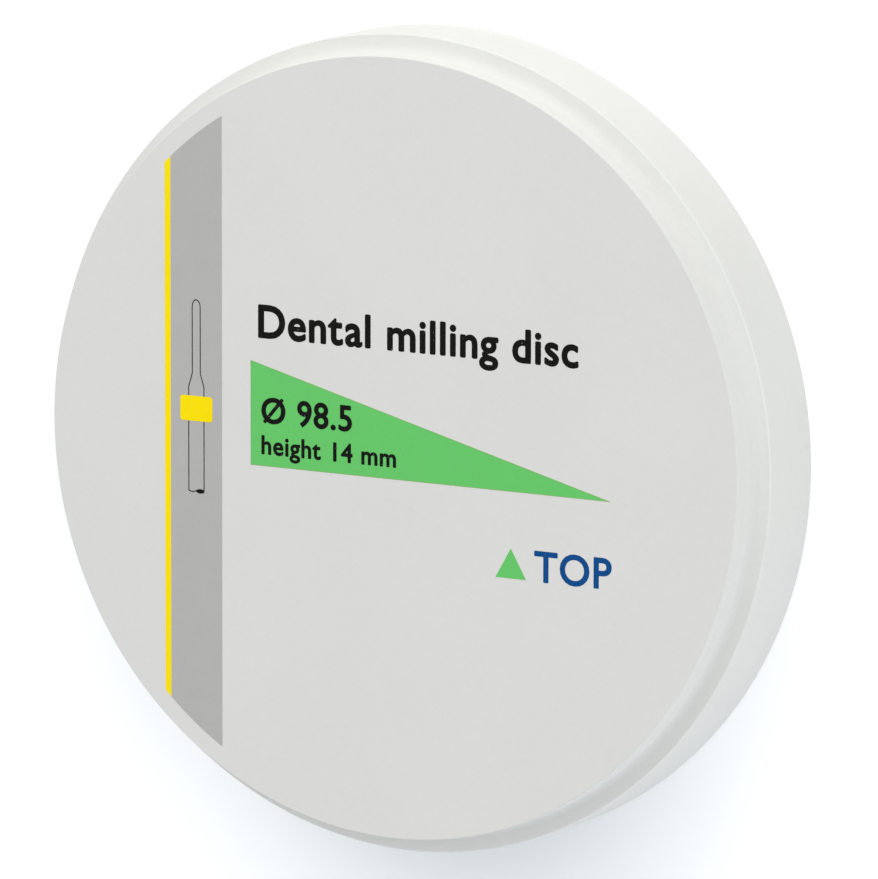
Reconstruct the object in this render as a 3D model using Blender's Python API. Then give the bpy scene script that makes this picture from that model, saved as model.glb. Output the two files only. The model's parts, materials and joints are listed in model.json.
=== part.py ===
"""Dental milling disc: a stepped blank of pre-sintered zirconia with print on its upper face.

The disc lies flat. It turns about Z, its back face is z = 0 and its printed face looks up.
X runs to the right of the print and Y to its top. Lengths are in metres, angles in degrees.
"""

import math

import bmesh
import bpy
from mathutils import Vector

MM = 0.001

# Blank
DISC_DIAMETER = 98.5 * MM
DISC_HEIGHT = 14.0 * MM
FLANGE_HEIGHT = 10.0 * MM
BOSS_DIAMETER = 94.0 * MM
FLANGE_EDGE_RADIUS = 0.2 * MM
FACE_EDGE_RADIUS = 0.12 * MM
FOOT_RADIUS = 0.9 * MM

# Print: a round area that stays clear of the face's edge, and the fields in it
PRINT_MARGIN = 2.2 * MM
BAND_RIGHT = -23.2 * MM
BAND_WIDTH = 7.2 * MM
STRIPE_WIDTH = 0.8 * MM
BLOCK_WIDTH = 4.5 * MM
BLOCK_HEIGHT = 3.05 * MM
BLOCK_CENTRE_Y = 2.65 * MM
BLOCK_CORNER_RADIUS = 0.35 * MM
WEDGE_LEFT = -19.2 * MM
WEDGE_FOOT = -3.5 * MM
WEDGE_LENGTH = 49.4 * MM
WEDGE_HEIGHT = 12.7 * MM

# Fineness of the round forms
TURN_STEPS = 180
ARC_STEPS = 4
SHARP_ANGLE = 40.0

DISC_RADIUS = DISC_DIAMETER / 2
BOSS_RADIUS = BOSS_DIAMETER / 2
PRINT_RADIUS = BOSS_RADIUS - PRINT_MARGIN
BAND_LEFT = BAND_RIGHT - BAND_WIDTH
TOLERANCE = 0.001 * MM

# Name, linear base colour and roughness, in the order of the blank's material slots
MATERIALS = (
    ("ceramic", (0.78, 0.78, 0.75), 0.75),
    ("grey_ink", (0.42, 0.42, 0.42), 0.6),
    ("yellow_ink", (0.98, 0.73, 0.01), 0.6),
    ("green_ink", (0.14, 0.56, 0.15), 0.6),
)
MATERIAL_INDEX = {name: index for index, (name, _, _) in enumerate(MATERIALS)}


def clear_scene():
    for obj in list(bpy.data.objects):
        bpy.data.objects.remove(obj, do_unlink=True)


def make_material(name, colour, roughness):
    material = bpy.data.materials.new(name)
    material.use_nodes = True
    shader = material.node_tree.nodes["Principled BSDF"]
    shader.inputs["Base Color"].default_value = (*colour, 1.0)
    shader.inputs["Roughness"].default_value = roughness
    shader.inputs["Metallic"].default_value = 0.0
    return material


def arc(centre, radius, start, end):
    """Points of an arc, from the start angle to the end angle."""
    angles = [start + (end - start) * step / ARC_STEPS for step in range(ARC_STEPS + 1)]
    return [
        (
            centre[0] + radius * math.cos(math.radians(angle)),
            centre[1] + radius * math.sin(math.radians(angle)),
        )
        for angle in angles
    ]


def blank_profile():
    """Half section as (radius, height), from the rim of the print area down the outer side."""
    points = [(PRINT_RADIUS, DISC_HEIGHT)]
    points += arc(
        (BOSS_RADIUS - FACE_EDGE_RADIUS, DISC_HEIGHT - FACE_EDGE_RADIUS), FACE_EDGE_RADIUS, 90, 0
    )
    points += arc((BOSS_RADIUS + FOOT_RADIUS, FLANGE_HEIGHT + FOOT_RADIUS), FOOT_RADIUS, 180, 270)
    rim = DISC_RADIUS - FLANGE_EDGE_RADIUS
    points += arc((rim, FLANGE_HEIGHT - FLANGE_EDGE_RADIUS), FLANGE_EDGE_RADIUS, 90, 0)
    points += arc((rim, FLANGE_EDGE_RADIUS), FLANGE_EDGE_RADIUS, 0, -90)
    return points


def turn_blank(mesh):
    """Spins the section round Z and closes the print area and the back with one face each."""
    verts = [mesh.verts.new((radius, 0.0, height)) for radius, height in blank_profile()]
    edges = [mesh.edges.new(pair) for pair in zip(verts, verts[1:])]
    bmesh.ops.spin(
        mesh,
        geom=verts + edges,
        axis=(0, 0, 1),
        cent=(0, 0, 0),
        angle=math.tau,
        steps=TURN_STEPS,
        use_merge=True,
    )
    bmesh.ops.holes_fill(mesh, edges=[edge for edge in mesh.edges if edge.is_boundary])
    bmesh.ops.recalc_face_normals(mesh, faces=mesh.faces)


def rectangle(left, right, foot, top):
    """Outline of an upright rectangle, anticlockwise."""
    return [Vector(point) for point in ((left, foot), (right, foot), (right, top), (left, top))]


def rounded_rectangle(left, right, foot, top, radius):
    """Outline of an upright rectangle with rounded corners, anticlockwise."""
    corners = (
        ((right - radius, foot + radius), -90),
        ((right - radius, top - radius), 0),
        ((left + radius, top - radius), 90),
        ((left + radius, foot + radius), 180),
    )
    outline = []
    for centre, start in corners:
        outline += [Vector(point) for point in arc(centre, radius, start, start + 90)]
    return outline


def printed_face_at(mesh, point):
    """The face of the flat top that holds this point."""
    for face in mesh.faces:
        if face.normal.z < 0.99 or abs(face.calc_center_median().z - DISC_HEIGHT) > TOLERANCE:
            continue
        if bmesh.geometry.intersect_face_point(face, point):
            return face
    raise ValueError(f"no printed face at {tuple(point)}")


def print_field(mesh, outline, ink):
    """Scores a convex outline, given anticlockwise, into the printed face and inks its inside."""
    middle = sum(outline, Vector((0.0, 0.0))) / len(outline)
    inside = [printed_face_at(mesh, middle.to_3d() + Vector((0, 0, DISC_HEIGHT)))]
    for start, end in zip(outline, outline[1:] + outline[:1]):
        along = end - start
        outward = Vector((along.y, -along.x, 0.0)).normalized()
        edges = {edge for face in inside for edge in face.edges}
        verts = {vert for face in inside for vert in face.verts}
        cut = bmesh.ops.bisect_plane(
            mesh,
            geom=[*inside, *edges, *verts],
            dist=TOLERANCE,
            plane_co=start.to_3d(),
            plane_no=outward,
        )
        faces = [item for item in cut["geom"] if isinstance(item, bmesh.types.BMFace)]
        inside = [
            face for face in faces if (face.calc_center_median() - start.to_3d()).dot(outward) < 0
        ]
    for face in inside:
        face.material_index = MATERIAL_INDEX[ink]


def print_face(mesh):
    """The fields of colour: band with its stripe and block, and the wedge."""
    print_field(
        mesh, rectangle(BAND_LEFT, BAND_RIGHT, -PRINT_RADIUS, PRINT_RADIUS), "grey_ink"
    )
    print_field(
        mesh,
        rectangle(BAND_LEFT - STRIPE_WIDTH, BAND_LEFT, -PRINT_RADIUS, PRINT_RADIUS),
        "yellow_ink",
    )
    block_centre_x = (BAND_LEFT + BAND_RIGHT) / 2
    print_field(
        mesh,
        rounded_rectangle(
            block_centre_x - BLOCK_WIDTH / 2,
            block_centre_x + BLOCK_WIDTH / 2,
            BLOCK_CENTRE_Y - BLOCK_HEIGHT / 2,
            BLOCK_CENTRE_Y + BLOCK_HEIGHT / 2,
            BLOCK_CORNER_RADIUS,
        ),
        "yellow_ink",
    )
    wedge = (
        (WEDGE_LEFT, WEDGE_FOOT),
        (WEDGE_LEFT + WEDGE_LENGTH, WEDGE_FOOT),
        (WEDGE_LEFT, WEDGE_FOOT + WEDGE_HEIGHT),
    )
    print_field(mesh, [Vector(point) for point in wedge], "green_ink")


def make_disc():
    mesh = bmesh.new()
    turn_blank(mesh)
    print_face(mesh)
    data = bpy.data.meshes.new("milling_disc")
    mesh.to_mesh(data)
    mesh.free()
    for name, colour, roughness in MATERIALS:
        data.materials.append(make_material(name, colour, roughness))
    data.shade_smooth()
    data.set_sharp_from_angle(angle=math.radians(SHARP_ANGLE))
    disc = bpy.data.objects.new("milling_disc", data)
    bpy.context.scene.collection.objects.link(disc)
    weighting = disc.modifiers.new("flat_faces_first", "WEIGHTED_NORMAL")
    weighting.keep_sharp = True
    return disc


def main():
    clear_scene()
    make_disc()


main()
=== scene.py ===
"""Dental milling disc: the chalky finish and the print of a stepped zirconia blank, in a studio.

The disc lies flat on its back face and looks up. It turns about Z; X runs to the right of the
print and Y to its top. Lengths are in metres, angles in degrees.
"""

import json
import math
from typing import NamedTuple

import bmesh
import bpy
from bpy.props import FloatProperty, FloatVectorProperty, PointerProperty, StringProperty
from bpy.types import Operator, Panel, PropertyGroup
from mathutils import Color, Matrix, Vector


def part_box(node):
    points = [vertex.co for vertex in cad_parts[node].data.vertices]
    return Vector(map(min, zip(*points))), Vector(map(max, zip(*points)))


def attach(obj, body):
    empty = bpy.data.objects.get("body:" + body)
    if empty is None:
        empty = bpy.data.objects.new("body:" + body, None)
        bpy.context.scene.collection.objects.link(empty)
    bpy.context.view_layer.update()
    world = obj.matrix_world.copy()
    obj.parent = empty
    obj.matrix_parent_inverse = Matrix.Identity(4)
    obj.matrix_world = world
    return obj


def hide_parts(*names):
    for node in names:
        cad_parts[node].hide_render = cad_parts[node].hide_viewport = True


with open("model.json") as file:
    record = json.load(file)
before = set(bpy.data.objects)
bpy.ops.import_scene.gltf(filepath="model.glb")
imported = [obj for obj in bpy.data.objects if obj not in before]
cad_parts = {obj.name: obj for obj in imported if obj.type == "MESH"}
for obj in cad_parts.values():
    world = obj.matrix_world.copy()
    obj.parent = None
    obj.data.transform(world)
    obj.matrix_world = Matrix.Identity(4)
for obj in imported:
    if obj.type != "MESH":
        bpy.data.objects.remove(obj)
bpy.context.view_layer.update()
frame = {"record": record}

bl_info = {
    "name": "Dental milling disc",
    "version": (1, 0, 0),
    "blender": (4, 5, 0),
    "location": "3D View > Sidebar > Milling disc",
    "description": "Models the printed zirconia blank of a dental mill, and a studio to show it",
    "category": "Add Mesh",
}

MM = 0.001
BODY = "root"
BLANK_NODE = "milling_disc"

# Sizes of the packed solid
MOUNT_HEIGHTS = {mount["name"]: mount["pos_m"][2] for mount in frame["record"]["mounts"]}
CAD_LOW, CAD_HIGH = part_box(BLANK_NODE)
DISC_DIAMETER = CAD_HIGH.x - CAD_LOW.x
DISC_HEIGHT = MOUNT_HEIGHTS["printed_face"]
FLANGE_HEIGHT = MOUNT_HEIGHTS["clamp_shoulder"]

# Fineness of the meshes
TURN_STEPS = 360
EDGE_STEPS = 6
CORNER_STEPS = 8
WAVE_STEPS = 24
OVAL_STEPS = 48
LETTER_STEPS = 5
BOLD_STEPS = 12

# Points closer than this are one point, and faces that meet flatter than this are one face
PLACE_TOLERANCE = 0.001 * MM
FLAT_ANGLE = 1.0

# Spacing of the letters, and the extra room that keeps a t's bar off the next letter
LETTER_SPACING = 1.06
ROOM_AFTER_T = 5.0

# Layers of ink, counted up from the face, and how far each sinks into what carries it
FIRST_LAYER = 1
SECOND_LAYER = 2
THIRD_LAYER = 3
INK_SINK = 0.01 * MM

# Sizes of the surfaces' features, and the depth of their relief
GRAIN_SIZE = 0.3 * MM
POWDER_SIZE = 1.1 * MM
CLOUD_SIZE = 16.0 * MM
TURNING_PITCH = 0.4 * MM
INK_CLOUD_SIZE = 3.0 * MM
PINHOLE_SIZE = 0.25 * MM
GRAIN_DEPTH = 0.006 * MM
TURNING_DEPTH = 0.008 * MM
INK_GRAIN_DEPTH = 0.004 * MM
FRINGE_WIDTH = 0.11 * MM
FRINGE_BLUR = 0.05 * MM

# How much each feature lightens or darkens its surface
GRAIN_TONE = 0.06
POWDER_TONE = 0.03
CLOUD_TONE = 0.05
TURNING_TONE = 0.04
HOLLOW_PAINTED_SHADE = 0.08
INK_GRAIN_TONE = 0.08
INK_CLOUD_TONE = 0.06

# Painted shade in the hollow at the boss's foot, where shade falls: full up to the first distance
# from the corner, gone from the second, both in radii of the hollow
HOLLOW_FULL = 0.4
HOLLOW_GONE = 1.1

# Noise at which a pinhole in the ink starts and is open, and how much ceramic it shows
PINHOLE_START = 0.19
PINHOLE_OPEN = 0.26
PINHOLE_SHARE = 0.3

# Finish of ceramic and ink: roughness, how much the grain varies it, and gloss
CERAMIC_ROUGHNESS = 0.8
CERAMIC_UNEVENNESS = 0.2
CERAMIC_GLOSS = 0.3
INK_ROUGHNESS = 0.7
INK_UNEVENNESS = 0.25
INK_GLOSS = 0.1

# Noise: the value in its middle, and its octaves where it is plain and where it is fine
NOISE_MIDDLE = 0.5
PLAIN_DETAIL = 2.0
FINE_DETAIL = 3.0

# The photograph's view: it looks at a point on the printed face, with the print's top up
AIM = Vector((6.84, 1.87, 14.0)) * MM
CAMERA_DISTANCE = 1.18215
CAMERA_AZIMUTH = 18.978
CAMERA_ELEVATION = 58.421
CAMERA_ROLL = 0.139
CAMERA_LENS_MM = 409.56
CAMERA_SENSOR_MM = 36.0

# Studio: the floor, how far it lies below the disc, and where the two lamps stand
FLOOR_SIZE = 6.0
FLOOR_GAP = 0.02 * MM
KEY_AZIMUTH = 84.0
KEY_ELEVATION = 24.0
KEY_SIZE = 0.23
FILL_AZIMUTH = -55.0
FILL_ELEVATION = 17.0
FILL_SIZE = 0.6

# Painted shadow on the floor at the print's foot, on top of the disc's own shadow: in its middle a
# view raises the floor's brightness by this share only, and from its reach on fully
PAINTED_SHADOW_MIDDLE = Vector((6.0, -50.0, 0.0)) * MM
PAINTED_SHADOW_REACH = 45.0 * MM
PAINTED_SHADOW_LEFT = 0.2

BLACK = (0.0, 0.0, 0.0)
WHITE = (1.0, 1.0, 1.0)

# Sockets of a Mix node set to colours
MIX_SHARE = 0
MIX_FIRST = 6
MIX_SECOND = 7
MIX_RESULT = 2


def length(name, description, default):
    """A size or place that a user may change."""
    return FloatProperty(
        name=name,
        description=description,
        default=default,
        precision=5,
        unit="LENGTH",
        subtype="DISTANCE",
    )


def level(name, description, default):
    """A brightness, where light of level 1 shows a colour as it is written."""
    return FloatProperty(name=name, description=description, default=default, min=0.0)


def tint(name, description, default):
    """A colour as a screen shows it."""
    return FloatVectorProperty(
        name=name,
        description=description,
        default=default,
        min=0.0,
        max=1.0,
        subtype="COLOR_GAMMA",
    )


class BlankSizes(PropertyGroup):
    """Sizes of the turned blank."""

    disc_diameter: length("Disc diameter", "Diameter of the clamping flange", DISC_DIAMETER)
    disc_height: length("Disc height", "From the back face to the printed face", DISC_HEIGHT)
    flange_height: length("Flange height", "From the back face to the shoulder", FLANGE_HEIGHT)
    boss_diameter: length("Boss diameter", "Diameter of the raised, printed part", 94.0 * MM)
    flange_edge: length("Flange edge", "Radius of the flange's two edges", 0.2 * MM)
    face_edge: length("Face edge", "Radius of the printed face's edge", 0.12 * MM)
    foot: length("Boss foot", "Radius of the hollow between boss and shoulder", 0.9 * MM)


class FieldSizes(PropertyGroup):
    """Sizes and places of the fields of colour on the face."""

    ink_thickness: length("Ink thickness", "Thickness of one layer of ink", 0.015 * MM)
    margin: length("Clear rim", "Rim of the face that the print stays off", 2.2 * MM)
    band_right: length("Band right", "Right edge of the grey band", -23.2 * MM)
    band_width: length("Band width", "Width of the grey band", 7.2 * MM)
    stripe_width: length("Stripe width", "Width of the stripe left of the band", 0.8 * MM)
    block_width: length("Block width", "Width of the yellow block on the band", 4.5 * MM)
    block_height: length("Block height", "Height of the yellow block", 3.05 * MM)
    block_y: length("Block place", "Height of the block's middle on the face", 2.65 * MM)
    block_corner: length("Block corners", "Radius of the block's corners", 0.35 * MM)
    wedge_left: length("Wedge left", "Left edge of the green wedge", -19.2 * MM)
    wedge_foot: length("Wedge foot", "Lower edge of the green wedge", -3.5 * MM)
    wedge_length: length("Wedge length", "Length of the green wedge", 49.4 * MM)
    wedge_height: length("Wedge height", "Height of the wedge's left edge", 12.7 * MM)


class ToolSizes(PropertyGroup):
    """Sizes and places of the outlined milling tool on the band."""

    tip_y: length("Tip", "Height of the tool's tip on the face", 15.9 * MM)
    tip_length: length("Tip length", "Length of the rounded tip", 0.95 * MM)
    neck_width: length("Neck width", "Width of the tool's neck", 1.24 * MM)
    neck_foot_y: length("Neck foot", "Where the neck starts to widen", 6.95 * MM)
    shank_top_y: length("Shank top", "Where the shank has its full width", 5.3 * MM)
    shank_width: length("Shank width", "Width of the tool's shank", 2.26 * MM)
    shank_end_y: length("Shank end", "Height of the shank's broken end", -7.4 * MM)
    wave_height: length("Wave", "Height of the wave along the broken end", 0.16 * MM)
    line_width: length("Line width", "Width of the outline", 0.121 * MM)
    core_width: length("Core width", "Width of the dark section at the end", 1.15 * MM)
    core_height: length("Core height", "Height of the dark section", 0.5 * MM)


class LetteringSizes(PropertyGroup):
    """Words, sizes and places of the lettering."""

    title: StringProperty(
        name="Title", description="What the disc is", default="Dental milling disc"
    )
    title_left: length("Title left", "Left end of the title", -18.0 * MM)
    title_y: length("Title place", "Baseline of the title", 12.1 * MM)
    title_height: length("Title height", "Height of the title's tall letters", 3.78 * MM)
    title_weight: length("Title weight", "How far the title is thickened", 0.15 * MM)
    size_left: length("Sizes left", "Left end of the sizes on the wedge", -17.6 * MM)
    width_y: length("Width place", "Baseline of the width", 1.8 * MM)
    width_height: length("Width figures", "Height of the figures that give the width", 3.0 * MM)
    width_weight: length("Width weight", "How far the width is thickened", 0.1 * MM)
    height_y: length("Height place", "Baseline of the height", -2.0 * MM)
    height_height: length("Height figures", "Height of the letters that give the height", 2.2 * MM)
    height_weight: length("Height weight", "How far the height is thickened", 0.08 * MM)


class MarkSizes(PropertyGroup):
    """Word, size and place of the mark that shows which side is up."""

    word: StringProperty(name="Mark", description="Word of the top mark", default="TOP")
    left: length("Mark left", "Left corner of the mark's triangle", 14.6 * MM)
    foot: length("Mark place", "Baseline of the mark", -13.9 * MM)
    height: length("Mark height", "Height of the triangle and the word", 3.6 * MM)
    gap: length("Mark gap", "Gap between the triangle and the word", 1.2 * MM)
    weight: length("Mark weight", "How far the word is thickened", 0.1 * MM)


class Colours(PropertyGroup):
    """Colours of the ceramic, the inks, the floor and the lamps."""

    wall: tint("Turned ceramic", "Walls, shoulder and back", (0.888, 0.890, 0.884))
    # Painted shade: the face is a greyer copy of the walls' ceramic
    face: tint("Pressed face", "The slightly greyer face", (0.868, 0.867, 0.864))
    grey: tint("Grey ink", "Ink of the band", (0.712, 0.712, 0.712))
    yellow: tint("Yellow ink", "Ink of the stripe and the block", (1.0, 0.892, 0.005))
    green: tint("Green ink", "Ink of the wedge", (0.41, 0.785, 0.422))
    fringe: tint("Fringe", "Yellow ink that shows along the wedge", (0.53, 0.71, 0.42))
    black: tint("Black ink", "Ink of the lettering and the tool", (0.05, 0.05, 0.046))
    blue: tint("Blue ink", "Ink of the top mark's word", (0.03, 0.29, 0.54))
    floor: tint("Floor", "Colour of the light that the floor throws back", (0.88, 0.88, 0.88))
    key: tint("Key light", "Light from the top of the print", (1.0, 0.995, 0.98))
    fill: tint("Fill light", "Light from the lower right", (0.96, 0.98, 1.0))
    seen_floor: tint("Floor in a view", "Colour of the floor in a view", (0.972, 0.982, 1.0))
    sky_top: tint("Sky at the top", "Even light from beyond the top", (1.0, 1.0, 0.985))
    sky_foot: tint("Sky at the foot", "Even light from beyond the foot", (0.965, 0.985, 1.0))


class StudioLevels(PropertyGroup):
    """Brightness of the sky, the lamps and the floor, and how far off the lamps stand."""

    sky_top: level("Sky at the top", "Even light from beyond the print's top", 1.335)
    sky_foot: level("Sky at the foot", "Even light from beyond the print's foot", 0.26)
    key: level("Key", "Soft light from the top of the print", 0.21)
    fill: level("Fill", "Soft light from the lower right", 0.38)
    floor_lift: level("Floor lift", "What a view adds to the floor to make it white", 0.22)
    key_distance: length("Key distance", "From the disc to the key light", 0.4)
    fill_distance: length("Fill distance", "From the disc to the fill light", 1.2)


class Signal:
    """A value that varies over a surface: a node's output, used in sums and products."""

    def __init__(self, recipe, socket):
        self.recipe = recipe
        self.socket = socket

    def maths(self, operation, first, second):
        """The result of a Math node on two signals or numbers."""
        return self.recipe.node("ShaderNodeMath", {"operation": operation}, {0: first, 1: second})

    def __add__(self, other):
        return self.maths("ADD", self, other)

    def __sub__(self, other):
        return self.maths("SUBTRACT", self, other)

    def __rsub__(self, other):
        return self.maths("SUBTRACT", other, self)

    def __mul__(self, other):
        return self.maths("MULTIPLY", self, other)

    def __pow__(self, other):
        return self.maths("POWER", self, other)

    __radd__ = __add__
    __rmul__ = __mul__

    def at_most(self, other):
        return self.maths("MINIMUM", self, other)

    def at_least(self, other):
        return self.maths("MAXIMUM", self, other)


class Recipe:
    """The nodes of one material or of the world."""

    def __init__(self, owner):
        owner.use_nodes = True
        self.tree = owner.node_tree

    def feed(self, socket, value):
        """Links a signal to a socket, or sets the socket to a value."""
        if isinstance(value, Signal):
            self.tree.links.new(value.socket, socket)
        elif socket.type == "RGBA":
            socket.default_value = (*value, 1.0)
        else:
            socket.default_value = value

    def node(self, kind, settings=None, inputs=None, output=0):
        """Adds a node, sets it, feeds its inputs and returns one of its outputs."""
        node = self.tree.nodes.new(kind)
        for name, value in (settings or {}).items():
            setattr(node, name, value)
        for key, value in (inputs or {}).items():
            self.feed(node.inputs[key], value)
        return Signal(self, node.outputs[output])

    def shader(self, name, inputs):
        """Feeds the shader that the owner came with."""
        for key, value in inputs.items():
            self.feed(self.tree.nodes[name].inputs[key], value)

    def place(self):
        """The point on the piece, in metres."""
        return self.node("ShaderNodeTexCoord", output="Object")

    def axes(self, place):
        """X, Y and Z of a place."""
        return [
            self.node("ShaderNodeSeparateXYZ", None, {"Vector": place}, axis) for axis in "XYZ"
        ]

    def distance(self, place, middle):
        """How far a place lies from a point."""
        settings = {"operation": "DISTANCE"}
        return self.node("ShaderNodeVectorMath", settings, {0: place, 1: middle}, "Value")

    def noise(self, place, size, detail=PLAIN_DETAIL):
        """Noise about zero, from about -0.3 to 0.3, with features of that size."""
        inputs = {"Vector": place, "Scale": 1.0 / size, "Detail": detail}
        return self.node("ShaderNodeTexNoise", None, inputs) - NOISE_MIDDLE

    def step(self, value, low, high):
        """0 below low, 1 above high and smooth between them."""
        inputs = {"Value": value, "From Min": low, "From Max": high}
        return self.node("ShaderNodeMapRange", {"interpolation_type": "SMOOTHSTEP"}, inputs)

    def shade(self, colour, tone):
        """A colour made lighter or darker by a factor."""
        inputs = {0: colour, "Scale": tone}
        return self.node("ShaderNodeVectorMath", {"operation": "SCALE"}, inputs)

    def mix(self, share, first, second):
        """The first colour, with that share of the second."""
        inputs = {MIX_SHARE: share, MIX_FIRST: first, MIX_SECOND: second}
        return self.node("ShaderNodeMix", {"data_type": "RGBA"}, inputs, MIX_RESULT)

    def bump(self, height):
        """A normal that follows a relief in metres."""
        return self.node("ShaderNodeBump", None, {"Distance": 1.0, "Height": height})

    def seen(self):
        """1 for what the camera sees, directly or in gloss or glass, and 0 for light."""
        rays = [
            self.node("ShaderNodeLightPath", output=output)
            for output in ("Is Camera Ray", "Is Glossy Ray", "Is Transmission Ray")
        ]
        return rays[0].at_least(rays[1]).at_least(rays[2])


def linear(colour):
    """A screen colour as the shaders take it."""
    return tuple(Color(colour).from_srgb_to_scene_linear())


def ceramic_material(colours, blank):
    """Pressed zirconia: chalky grain, turning rings, and painted shade in the hollow and on the
    face.
    """
    material = bpy.data.materials.new("chalky_ceramic")
    recipe = Recipe(material)
    place = recipe.place()
    x, y, z = recipe.axes(place)
    radius = (x * x + y * y) ** 0.5
    # The face takes the greyer colour, which is painted shade, and has no turning rings
    on_face = recipe.step(z, blank.disc_height - blank.face_edge, blank.disc_height - INK_SINK)
    turned = 1.0 - on_face
    grain = recipe.noise(place, GRAIN_SIZE, FINE_DETAIL)
    powder = recipe.noise(place, POWDER_SIZE)
    cloud = recipe.noise(place, CLOUD_SIZE)
    ring_place = recipe.node("ShaderNodeCombineXYZ", None, {"X": radius, "Y": z})
    rings = recipe.noise(ring_place, TURNING_PITCH) * turned
    # Painted shade: the ceramic is made darker in the hollow at the boss's foot
    outward = radius - blank.boss_diameter / 2
    upward = z - blank.flange_height
    corner = (outward * outward + upward * upward) ** 0.5
    hollow = 1.0 - recipe.step(corner, HOLLOW_FULL * blank.foot, HOLLOW_GONE * blank.foot)
    tone = (
        1.0
        + GRAIN_TONE * grain
        + POWDER_TONE * powder
        + CLOUD_TONE * cloud
        + TURNING_TONE * rings
        - HOLLOW_PAINTED_SHADE * hollow
    )
    colour = recipe.mix(on_face, linear(colours.wall), linear(colours.face))
    inputs = {
        "Base Color": recipe.shade(colour, tone),
        "Roughness": CERAMIC_ROUGHNESS + CERAMIC_UNEVENNESS * grain,
        "Specular IOR Level": CERAMIC_GLOSS,
        "Normal": recipe.bump(GRAIN_DEPTH * grain + TURNING_DEPTH * rings),
    }
    recipe.shader("Principled BSDF", inputs)
    return material


def finish_ink(recipe, place, colour, ceramic):
    """A matt layer of ink that follows the ceramic's grain and leaves a few pinholes."""
    grain = recipe.noise(place, GRAIN_SIZE, FINE_DETAIL)
    cloud = recipe.noise(place, INK_CLOUD_SIZE)
    pinholes = recipe.step(recipe.noise(place, PINHOLE_SIZE), PINHOLE_START, PINHOLE_OPEN)
    inked = recipe.shade(colour, 1.0 + INK_GRAIN_TONE * grain + INK_CLOUD_TONE * cloud)
    inputs = {
        "Base Color": recipe.mix(PINHOLE_SHARE * pinholes, inked, ceramic),
        "Roughness": INK_ROUGHNESS + INK_UNEVENNESS * grain,
        "Specular IOR Level": INK_GLOSS,
        "Normal": recipe.bump(INK_GRAIN_DEPTH * (grain - pinholes)),
    }
    recipe.shader("Principled BSDF", inputs)


def ink_material(colours, name):
    """The ink of that name, made once."""
    material = bpy.data.materials.get(f"{name}_print")
    if material:
        return material
    material = bpy.data.materials.new(f"{name}_print")
    recipe = Recipe(material)
    finish_ink(recipe, recipe.place(), linear(getattr(colours, name)), linear(colours.face))
    return material


def wedge_material(colours, fields):
    """Green ink with a thin yellow fringe, where one of its two inks reaches further."""
    material = bpy.data.materials.new("wedge_print")
    recipe = Recipe(material)
    place = recipe.place()
    x, y, _ = recipe.axes(place)
    slope = Vector((fields.wedge_height, fields.wedge_length)).normalized()
    reach = slope.x * fields.wedge_length
    from_left = x - fields.wedge_left
    from_foot = y - fields.wedge_foot
    from_slope = reach - (from_left * slope.x + from_foot * slope.y)
    inside = from_left.at_most(from_foot).at_most(from_slope)
    fringe = 1.0 - recipe.step(inside, FRINGE_WIDTH - FRINGE_BLUR, FRINGE_WIDTH)
    colour = recipe.mix(fringe, linear(colours.green), linear(colours.fringe))
    finish_ink(recipe, place, colour, linear(colours.face))
    return material


def begin(name, add, stretch=(1.0, 1.0, 1.0), **settings):
    """Adds a primitive with nothing else selected and opens it in edit mode, all selected."""
    bpy.ops.object.select_all(action="DESELECT")
    add(**settings)
    bpy.context.object.scale = stretch
    return open_piece(name)


def open_piece(name):
    """Names the new object, puts its place in its mesh and opens it, all selected."""
    piece = bpy.context.object
    piece.name = name
    piece.data.name = name
    bpy.ops.object.transform_apply(location=True, rotation=True, scale=True)
    bpy.ops.object.mode_set(mode="EDIT")
    bpy.ops.mesh.select_all(action="SELECT")
    return piece


def begin_words(name, words):
    """Adds words as a flat mesh and opens it in edit mode, all selected."""
    bpy.ops.object.select_all(action="DESELECT")
    bpy.ops.object.text_add()
    text = bpy.context.object
    text.data.body = words
    text.data.resolution_u = LETTER_STEPS
    text.data.space_character = LETTER_SPACING
    for letter, style in zip(words, text.data.body_format):
        style.kerning = ROOM_AFTER_T if letter == "t" else 0.0
    bpy.ops.object.convert(target="MESH")
    return open_piece(name)


def finish(piece, material):
    """Turns every face outwards and gives the piece its material, slot and body."""
    bpy.ops.mesh.select_all(action="SELECT")
    bpy.ops.mesh.normals_make_consistent(inside=False)
    bpy.ops.object.mode_set(mode="OBJECT")
    piece.data.materials.clear()
    piece.data.materials.append(material)
    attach(piece, BODY)


def select(piece, kind, wanted):
    """Selects only the wanted vertices, edges or faces of the piece, in edit mode."""
    bpy.ops.mesh.select_mode(type=kind)
    bpy.ops.mesh.select_all(action="DESELECT")
    mesh = bmesh.from_edit_mesh(piece.data)
    items = {"VERT": mesh.verts, "EDGE": mesh.edges, "FACE": mesh.faces}[kind]
    for item in items:
        if wanted(item):
            item.select_set(True)
    mesh.select_flush_mode()
    bmesh.update_edit_mesh(piece.data)


def at_height(y):
    """Accepts a vertex at that height on the face."""
    return lambda vert: abs(vert.co.y - y) < PLACE_TOLERANCE


def pull_up(height):
    """Extrudes what is selected straight up."""
    bpy.ops.mesh.extrude_region_move(TRANSFORM_OT_translate={"value": (0.0, 0.0, height)})


def pull_ink(blank, fields, layer):
    """Puts a flat outline on its layer and makes it a thin solid."""
    bpy.ops.mesh.select_all(action="SELECT")
    foot = blank.disc_height + (layer - 1) * fields.ink_thickness - INK_SINK
    bpy.ops.transform.translate(value=(0.0, 0.0, foot))
    pull_up(fields.ink_thickness + INK_SINK)


def print_in(ink, piece, layer, blank, fields, colours):
    """Makes a flat outline a thin solid on its layer, in the ink of that name."""
    pull_ink(blank, fields, layer)
    finish(piece, ink_material(colours, ink))


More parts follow.
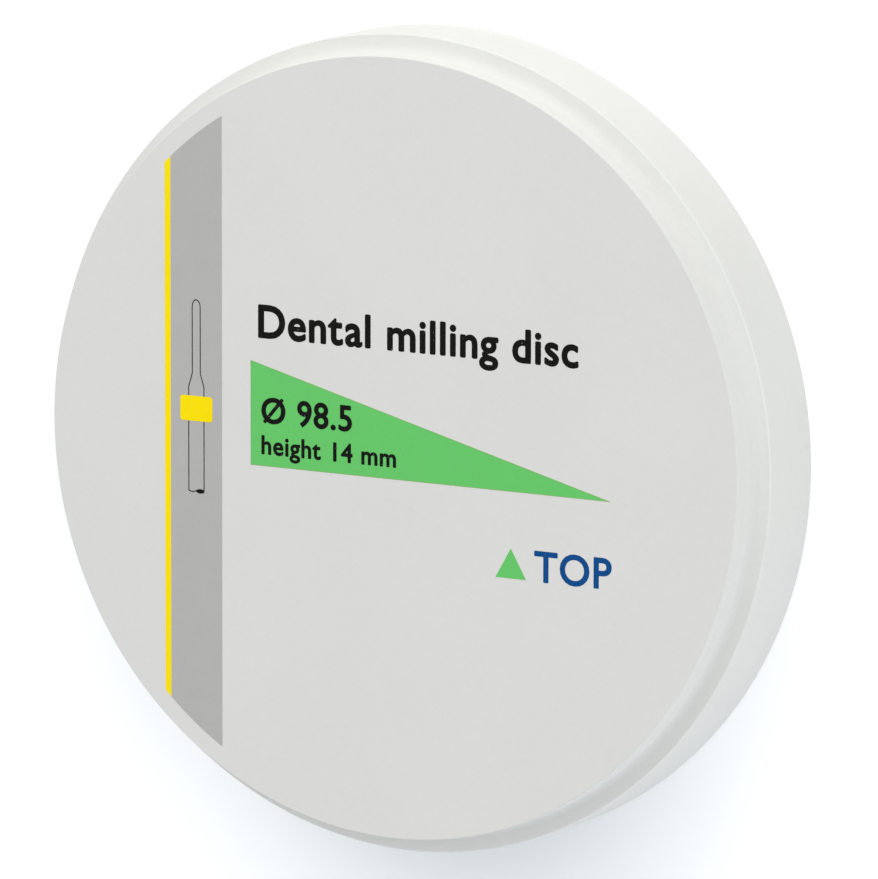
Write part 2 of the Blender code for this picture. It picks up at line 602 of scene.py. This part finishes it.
def round_ring(piece, radius, height, rounding):
    """Rounds the ring-shaped edge at that radius and height."""

    def on_ring(edge):
        return all(
            abs(vert.co.xy.length - radius) < PLACE_TOLERANCE
            and abs(vert.co.z - height) < PLACE_TOLERANCE
            for vert in edge.verts
        )

    select(piece, "EDGE", on_ring)
    bpy.ops.mesh.bevel(offset=rounding, segments=EDGE_STEPS, affect="EDGES")


def add_blank(blank, colours):
    """The turned blank: flange, shoulder, boss and the two faces."""
    outer = blank.disc_diameter / 2
    inner = blank.boss_diameter / 2
    circle = bpy.ops.mesh.primitive_circle_add
    piece = begin(
        "ceramic_blank", circle, vertices=TURN_STEPS, radius=outer, fill_type="NGON"
    )
    pull_up(blank.flange_height)
    bpy.ops.mesh.inset(thickness=outer - inner)
    pull_up(blank.disc_height - blank.flange_height)
    round_ring(piece, outer, 0.0, blank.flange_edge)
    round_ring(piece, outer, blank.flange_height, blank.flange_edge)
    round_ring(piece, inner, blank.flange_height, blank.foot)
    round_ring(piece, inner, blank.disc_height, blank.face_edge)
    finish(piece, ceramic_material(colours, blank))
    bpy.ops.object.shade_smooth()
    weighting = piece.modifiers.new("flat_faces_first", "WEIGHTED_NORMAL")
    bpy.ops.object.modifier_apply(modifier=weighting.name)
    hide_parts(BLANK_NODE)


def begin_strip(name, left, right, blank, fields):
    """The part of the round print area between two upright lines, flat."""
    radius = blank.boss_diameter / 2 - fields.margin
    circle = bpy.ops.mesh.primitive_circle_add
    piece = begin(name, circle, vertices=TURN_STEPS, radius=radius, fill_type="NGON")
    for place, side in ((right, {"clear_outer": True}), (left, {"clear_inner": True})):
        bpy.ops.mesh.select_all(action="SELECT")
        bpy.ops.mesh.bisect(
            plane_co=(place, 0.0, 0.0),
            plane_no=(1.0, 0.0, 0.0),
            threshold=PLACE_TOLERANCE,
            **side,
        )
    return piece


def add_band(blank, fields, colours):
    """The grey band and the yellow stripe along its left edge."""
    band_left = fields.band_right - fields.band_width
    stripe_left = band_left - fields.stripe_width
    band = begin_strip("grey_band", band_left, fields.band_right, blank, fields)
    print_in("grey", band, FIRST_LAYER, blank, fields, colours)
    stripe = begin_strip("yellow_stripe", stripe_left, band_left, blank, fields)
    print_in("yellow", stripe, FIRST_LAYER, blank, fields, colours)


def add_wedge(blank, fields, colours):
    """The green wedge: a rectangle cut along its diagonal."""
    middle = (
        fields.wedge_left + fields.wedge_length / 2,
        fields.wedge_foot + fields.wedge_height / 2,
        0.0,
    )
    piece = begin(
        "green_wedge",
        bpy.ops.mesh.primitive_plane_add,
        size=1.0,
        location=middle,
        stretch=(fields.wedge_length, fields.wedge_height, 1.0),
    )
    bpy.ops.mesh.bisect(
        plane_co=middle,
        plane_no=(fields.wedge_height, fields.wedge_length, 0.0),
        threshold=PLACE_TOLERANCE,
        clear_outer=True,
    )
    pull_ink(blank, fields, FIRST_LAYER)
    finish(piece, wedge_material(colours, fields))


def band_middle(fields):
    """The line that the tool and the block stand on."""
    return fields.band_right - fields.band_width / 2


def round_tip(piece, tool, middle):
    """Rounds the neck's top end and stretches the round to the tip's length."""
    half = tool.neck_width / 2
    select(piece, "VERT", at_height(tool.tip_y))
    bpy.ops.mesh.bevel(
        offset=half, segments=CORNER_STEPS, affect="VERTICES", clamp_overlap=False
    )
    bpy.ops.mesh.select_all(action="SELECT")
    bpy.ops.mesh.remove_doubles(threshold=PLACE_TOLERANCE)
    select(piece, "VERT", lambda vert: vert.co.y > tool.tip_y - half - PLACE_TOLERANCE)
    bpy.ops.transform.resize(
        value=(1.0, tool.tip_length / half, 1.0), center_override=(middle, tool.tip_y, 0.0)
    )


def pull_down(piece, start, end):
    """Extrudes the outline's lowest edge from one height on the face to another."""
    select(piece, "VERT", at_height(start))
    bpy.ops.mesh.extrude_region_move(TRANSFORM_OT_translate={"value": (0.0, end - start, 0.0)})


def wave_end(piece, tool, middle):
    """Bends the shank's lower end into one wave, as a bar's broken end is drawn."""
    half = tool.shank_width / 2
    select(piece, "VERT", at_height(tool.shank_end_y))
    bpy.ops.mesh.subdivide(number_cuts=WAVE_STEPS - 1)
    for step in range(1, WAVE_STEPS):
        place = middle - half + tool.shank_width * step / WAVE_STEPS
        select(
            piece,
            "VERT",
            lambda vert: at_height(tool.shank_end_y)(vert)
            and abs(vert.co.x - place) < PLACE_TOLERANCE,
        )
        fall = -tool.wave_height * math.sin(math.tau * step / WAVE_STEPS)
        bpy.ops.transform.translate(value=(0.0, fall, 0.0))


def add_tool_sign(blank, fields, tool, colours):
    """The milling tool on the band: an outline, and the dark section at its broken end."""
    middle = band_middle(fields)
    outline = begin(
        "tool_outline",
        bpy.ops.mesh.primitive_plane_add,
        size=1.0,
        location=(middle, (tool.tip_y + tool.neck_foot_y) / 2, 0.0),
        stretch=(tool.neck_width, tool.tip_y - tool.neck_foot_y, 1.0),
    )
    round_tip(outline, tool, middle)
    pull_down(outline, tool.neck_foot_y, tool.shank_top_y)
    bpy.ops.transform.resize(
        value=(tool.shank_width / tool.neck_width, 1.0, 1.0),
        center_override=(middle, tool.shank_top_y, 0.0),
    )
    pull_down(outline, tool.shank_top_y, tool.shank_end_y)
    wave_end(outline, tool, middle)
    bpy.ops.mesh.select_mode(type="FACE")
    bpy.ops.mesh.select_all(action="SELECT")
    bpy.ops.mesh.inset(thickness=tool.line_width)
    bpy.ops.mesh.delete(type="FACE")
    print_in("black", outline, SECOND_LAYER, blank, fields, colours)
    core = begin(
        "tool_core",
        bpy.ops.mesh.primitive_circle_add,
        vertices=OVAL_STEPS,
        radius=0.5,
        fill_type="NGON",
        location=(middle + (tool.shank_width - tool.core_width) / 2, tool.shank_end_y, 0.0),
        stretch=(tool.core_width, tool.core_height, 1.0),
    )
    print_in("black", core, THIRD_LAYER, blank, fields, colours)


def add_block(blank, fields, colours):
    """The yellow block across the tool's shank."""
    piece = begin(
        "yellow_block",
        bpy.ops.mesh.primitive_plane_add,
        size=1.0,
        location=(band_middle(fields), fields.block_y, 0.0),
        stretch=(fields.block_width, fields.block_height, 1.0),
    )
    bpy.ops.mesh.bevel(offset=fields.block_corner, segments=CORNER_STEPS, affect="VERTICES")
    print_in("yellow", piece, THIRD_LAYER, blank, fields, colours)


def embolden(piece, weight):
    """Thickens a flat solid's outline: the union of copies shifted round a small circle."""
    letters = piece.data.copy()
    for step in range(BOLD_STEPS):
        angle = math.tau * step / BOLD_STEPS
        shift = Vector((math.cos(angle), math.sin(angle), 0.0)) * weight
        copy = bpy.data.objects.new("shifted_letters", letters.copy())
        copy.data.transform(Matrix.Translation(shift))
        bpy.context.scene.collection.objects.link(copy)
        union = piece.modifiers.new("thicken", "BOOLEAN")
        union.operation = "UNION"
        union.solver = "MANIFOLD"
        union.object = copy
        bpy.ops.object.modifier_apply(modifier=union.name)
        bpy.data.meshes.remove(copy.data)
    bpy.data.meshes.remove(letters)
    bpy.ops.object.mode_set(mode="EDIT")
    bpy.ops.mesh.select_all(action="SELECT")
    # A union's points come in a new order each run: sorted, they give the same mesh each time
    bpy.ops.mesh.sort_elements(type="CURSOR_DISTANCE", elements={"VERT", "EDGE", "FACE"})
    bpy.ops.mesh.remove_doubles(threshold=PLACE_TOLERANCE)
    bpy.ops.mesh.dissolve_limited(angle_limit=math.radians(FLAT_ANGLE))
    bpy.ops.object.mode_set(mode="OBJECT")


class PrintedLine(NamedTuple):
    """A line of words: its left end, baseline, tallest letter and how far it is thickened."""

    piece: str
    words: str
    left: float
    foot: float
    height: float
    weight: float
    layer: int


def add_words(line, ink, blank, fields, colours):
    """A line of words in ink, brought to its size and place."""
    piece = begin_words(line.piece, line.words)
    bpy.ops.mesh.remove_doubles(threshold=PLACE_TOLERANCE)
    corners = [vert.co for vert in bmesh.from_edit_mesh(piece.data).verts]
    factor = line.height / max(corner.y for corner in corners)
    start = min(corner.x for corner in corners) * factor
    bpy.ops.transform.resize(value=(factor, factor, 1.0), center_override=(0.0, 0.0, 0.0))
    bpy.ops.transform.translate(value=(line.left - start, line.foot, 0.0))
    print_in(ink, piece, line.layer, blank, fields, colours)
    embolden(piece, line.weight)


def add_lettering(blank, fields, lettering, colours):
    """The title above the wedge and the two sizes on it."""
    title = PrintedLine(
        piece="title",
        words=lettering.title,
        left=lettering.title_left,
        foot=lettering.title_y,
        height=lettering.title_height,
        weight=lettering.title_weight,
        layer=FIRST_LAYER,
    )
    width = PrintedLine(
        piece="width_figures",
        words=f"Ø {blank.disc_diameter / MM:.1f}",
        left=lettering.size_left,
        foot=lettering.width_y,
        height=lettering.width_height,
        weight=lettering.width_weight,
        layer=SECOND_LAYER,
    )
    height = PrintedLine(
        piece="height_figures",
        words=f"height {blank.disc_height / MM:.0f} mm",
        left=lettering.size_left,
        foot=lettering.height_y,
        height=lettering.height_height,
        weight=lettering.height_weight,
        layer=SECOND_LAYER,
    )
    for line in (title, width, height):
        add_words(line, "black", blank, fields, colours)


def add_top_mark(blank, fields, mark, colours):
    """A triangle with equal sides that points up, and the word beside it."""
    radius = mark.height * 2 / 3
    half_side = mark.height / math.sqrt(3)
    triangle = begin(
        "top_mark_triangle",
        bpy.ops.mesh.primitive_circle_add,
        vertices=3,
        radius=radius,
        fill_type="NGON",
        location=(mark.left + half_side, mark.foot + radius / 2, 0.0),
    )
    print_in("green", triangle, FIRST_LAYER, blank, fields, colours)
    word = PrintedLine(
        piece="top_mark_word",
        words=mark.word,
        left=mark.left + 2 * half_side + mark.gap,
        foot=mark.foot,
        height=mark.height,
        weight=mark.weight,
        layer=FIRST_LAYER,
    )
    add_words(word, "blue", blank, fields, colours)


def direction(azimuth, elevation):
    """The way from the disc's middle to that azimuth and elevation."""
    azimuth = math.radians(azimuth)
    elevation = math.radians(elevation)
    flat = math.cos(elevation)
    return Vector((flat * math.cos(azimuth), flat * math.sin(azimuth), math.sin(elevation)))


def light_sky(studio, colours):
    """Grey light from all round, dimmer towards the print's foot, that a view sees as white."""
    world = bpy.data.worlds.new("studio_sky")
    bpy.context.scene.world = world
    recipe = Recipe(world)
    _, y, _ = recipe.axes(recipe.node("ShaderNodeTexCoord", output="Generated"))
    share = recipe.step(y, -1.0, 1.0)
    foot = tuple(studio.sky_foot * part for part in linear(colours.sky_foot))
    top = tuple(studio.sky_top * part for part in linear(colours.sky_top))
    grey = recipe.mix(share, foot, top)
    sky = recipe.mix(recipe.seen(), grey, WHITE)
    recipe.shader("Background", {"Color": sky, "Strength": 1.0})


def add_floor(studio, colours):
    """A pale floor that a view shows white, but for the disc's shadow and painted shadow at the
    foot.
    """
    bpy.ops.object.select_all(action="DESELECT")
    bpy.ops.mesh.primitive_plane_add(size=FLOOR_SIZE, location=(0.0, 0.0, -FLOOR_GAP))
    floor = bpy.context.object
    floor.name = "studio_floor"
    material = bpy.data.materials.new("pale_floor")
    recipe = Recipe(material)
    seen = recipe.seen()
    # Painted shadow: a view brightens the floor less near the print's foot, so it is darker there
    away = recipe.distance(recipe.place(), PAINTED_SHADOW_MIDDLE)
    lift_less_painted_shadow = PAINTED_SHADOW_LEFT + (1.0 - PAINTED_SHADOW_LEFT) * recipe.step(away, 0.0, PAINTED_SHADOW_REACH)
    inputs = {
        "Base Color": recipe.mix(seen, linear(colours.floor), linear(colours.seen_floor)),
        "Roughness": 1.0,
        "Specular IOR Level": 0.0,
        "Emission Color": recipe.mix(seen * lift_less_painted_shadow, BLACK, WHITE),
        "Emission Strength": studio.floor_lift,
    }
    recipe.shader("Principled BSDF", inputs)
    floor.data.materials.append(material)


def add_lamp(name, way, distance, size, brightness, colour):
    """A soft square lamp that lights a face turned to it, at the disc, to that level."""
    bpy.ops.object.light_add(type="AREA", location=way * distance)
    lamp = bpy.context.object
    lamp.name = name
    lamp.rotation_euler = way.to_track_quat("Z", "Y").to_euler()
    lamp.visible_camera = False
    lamp.data.size = size
    lamp.data.color = linear(colour)
    # A lamp of P watts gives a white face the brightness P / (pi * distance)**2
    lamp.data.energy = brightness * (math.pi * distance) ** 2


def add_camera():
    """The photograph's camera: it looks at a point on the face, with the print's top up."""
    back = direction(CAMERA_AZIMUTH, CAMERA_ELEVATION)
    right = Vector((0.0, 1.0, 0.0)).cross(back).normalized()
    upright = Matrix((right, back.cross(right), back)).transposed()
    roll = Matrix.Rotation(math.radians(CAMERA_ROLL), 3, "Z")
    bpy.ops.object.camera_add(
        location=AIM + back * CAMERA_DISTANCE, rotation=(upright @ roll).to_euler()
    )
    camera = bpy.context.object
    camera.name = "photo_camera"
    camera.data.lens = CAMERA_LENS_MM
    camera.data.sensor_width = CAMERA_SENSOR_MM
    bpy.context.scene.camera = camera


def add_studio(studio, colours):
    """Floor, sky, two lamps and the camera."""
    add_floor(studio, colours)
    light_sky(studio, colours)
    key_way = direction(KEY_AZIMUTH, KEY_ELEVATION)
    add_lamp("key_lamp", key_way, studio.key_distance, KEY_SIZE, studio.key, colours.key)
    fill_way = direction(FILL_AZIMUTH, FILL_ELEVATION)
    add_lamp("fill_lamp", fill_way, studio.fill_distance, FILL_SIZE, studio.fill, colours.fill)
    add_camera()
    bpy.context.scene.view_settings.view_transform = "Standard"


# The property groups, by the names that the scene keeps them under
GROUPS = {
    "disc_blank": BlankSizes,
    "disc_fields": FieldSizes,
    "disc_tool": ToolSizes,
    "disc_lettering": LetteringSizes,
    "disc_mark": MarkSizes,
    "disc_colours": Colours,
    "disc_studio": StudioLevels,
}


class DISC_OT_add_blank(Operator):
    """Model the turned ceramic blank"""

    bl_idname = "disc.add_blank"
    bl_label = "Ceramic blank"

    def execute(self, context):
        scene = context.scene
        add_blank(scene.disc_blank, scene.disc_colours)
        return {"FINISHED"}


class DISC_OT_add_band(Operator):
    """Print the grey band and its yellow stripe"""

    bl_idname = "disc.add_band"
    bl_label = "Band and stripe"

    def execute(self, context):
        scene = context.scene
        add_band(scene.disc_blank, scene.disc_fields, scene.disc_colours)
        return {"FINISHED"}


class DISC_OT_add_wedge(Operator):
    """Print the green wedge"""

    bl_idname = "disc.add_wedge"
    bl_label = "Green wedge"

    def execute(self, context):
        scene = context.scene
        add_wedge(scene.disc_blank, scene.disc_fields, scene.disc_colours)
        return {"FINISHED"}


class DISC_OT_add_tool_sign(Operator):
    """Print the outlined milling tool and the yellow block across it"""

    bl_idname = "disc.add_tool_sign"
    bl_label = "Tool sign"

    def execute(self, context):
        scene = context.scene
        add_tool_sign(scene.disc_blank, scene.disc_fields, scene.disc_tool, scene.disc_colours)
        add_block(scene.disc_blank, scene.disc_fields, scene.disc_colours)
        return {"FINISHED"}


class DISC_OT_add_lettering(Operator):
    """Print the title and the sizes"""

    bl_idname = "disc.add_lettering"
    bl_label = "Lettering"

    def execute(self, context):
        scene = context.scene
        add_lettering(
            scene.disc_blank, scene.disc_fields, scene.disc_lettering, scene.disc_colours
        )
        return {"FINISHED"}


class DISC_OT_add_top_mark(Operator):
    """Print the mark that shows which side is up"""

    bl_idname = "disc.add_top_mark"
    bl_label = "Top mark"

    def execute(self, context):
        scene = context.scene
        add_top_mark(scene.disc_blank, scene.disc_fields, scene.disc_mark, scene.disc_colours)
        return {"FINISHED"}


class DISC_OT_add_studio(Operator):
    """Set up the floor, the light and the photograph's camera"""

    bl_idname = "disc.add_studio"
    bl_label = "Studio"

    def execute(self, context):
        add_studio(context.scene.disc_studio, context.scene.disc_colours)
        return {"FINISHED"}


OPERATORS = (
    DISC_OT_add_blank,
    DISC_OT_add_band,
    DISC_OT_add_wedge,
    DISC_OT_add_tool_sign,
    DISC_OT_add_lettering,
    DISC_OT_add_top_mark,
    DISC_OT_add_studio,
)


class VIEW3D_PT_milling_disc(Panel):
    """Lists the disc's pieces, its sizes and its colours"""

    bl_label = "Milling disc"
    bl_idname = "VIEW3D_PT_milling_disc"
    bl_space_type = "VIEW_3D"
    bl_region_type = "UI"
    bl_category = "Milling disc"

    def draw(self, context):
        for operator in OPERATORS:
            self.layout.operator(operator.bl_idname)
        for group_name, group in GROUPS.items():
            box = self.layout.box()
            box.label(text=group.__doc__)
            for property_name in group.__annotations__:
                box.prop(getattr(context.scene, group_name), property_name)


CLASSES = (*GROUPS.values(), *OPERATORS, VIEW3D_PT_milling_disc)


def register():
    for cls in CLASSES:
        bpy.utils.register_class(cls)
    for name, group in GROUPS.items():
        setattr(bpy.types.Scene, name, PointerProperty(type=group))


def unregister():
    for name in GROUPS:
        delattr(bpy.types.Scene, name)
    for cls in reversed(CLASSES):
        bpy.utils.unregister_class(cls)


def main():
    """Models every piece in order."""
    register()
    bpy.ops.disc.add_blank()
    bpy.ops.disc.add_band()
    bpy.ops.disc.add_wedge()
    bpy.ops.disc.add_tool_sign()
    bpy.ops.disc.add_lettering()
    bpy.ops.disc.add_top_mark()
    bpy.ops.disc.add_studio()


if __name__ == "__main__":
    main()
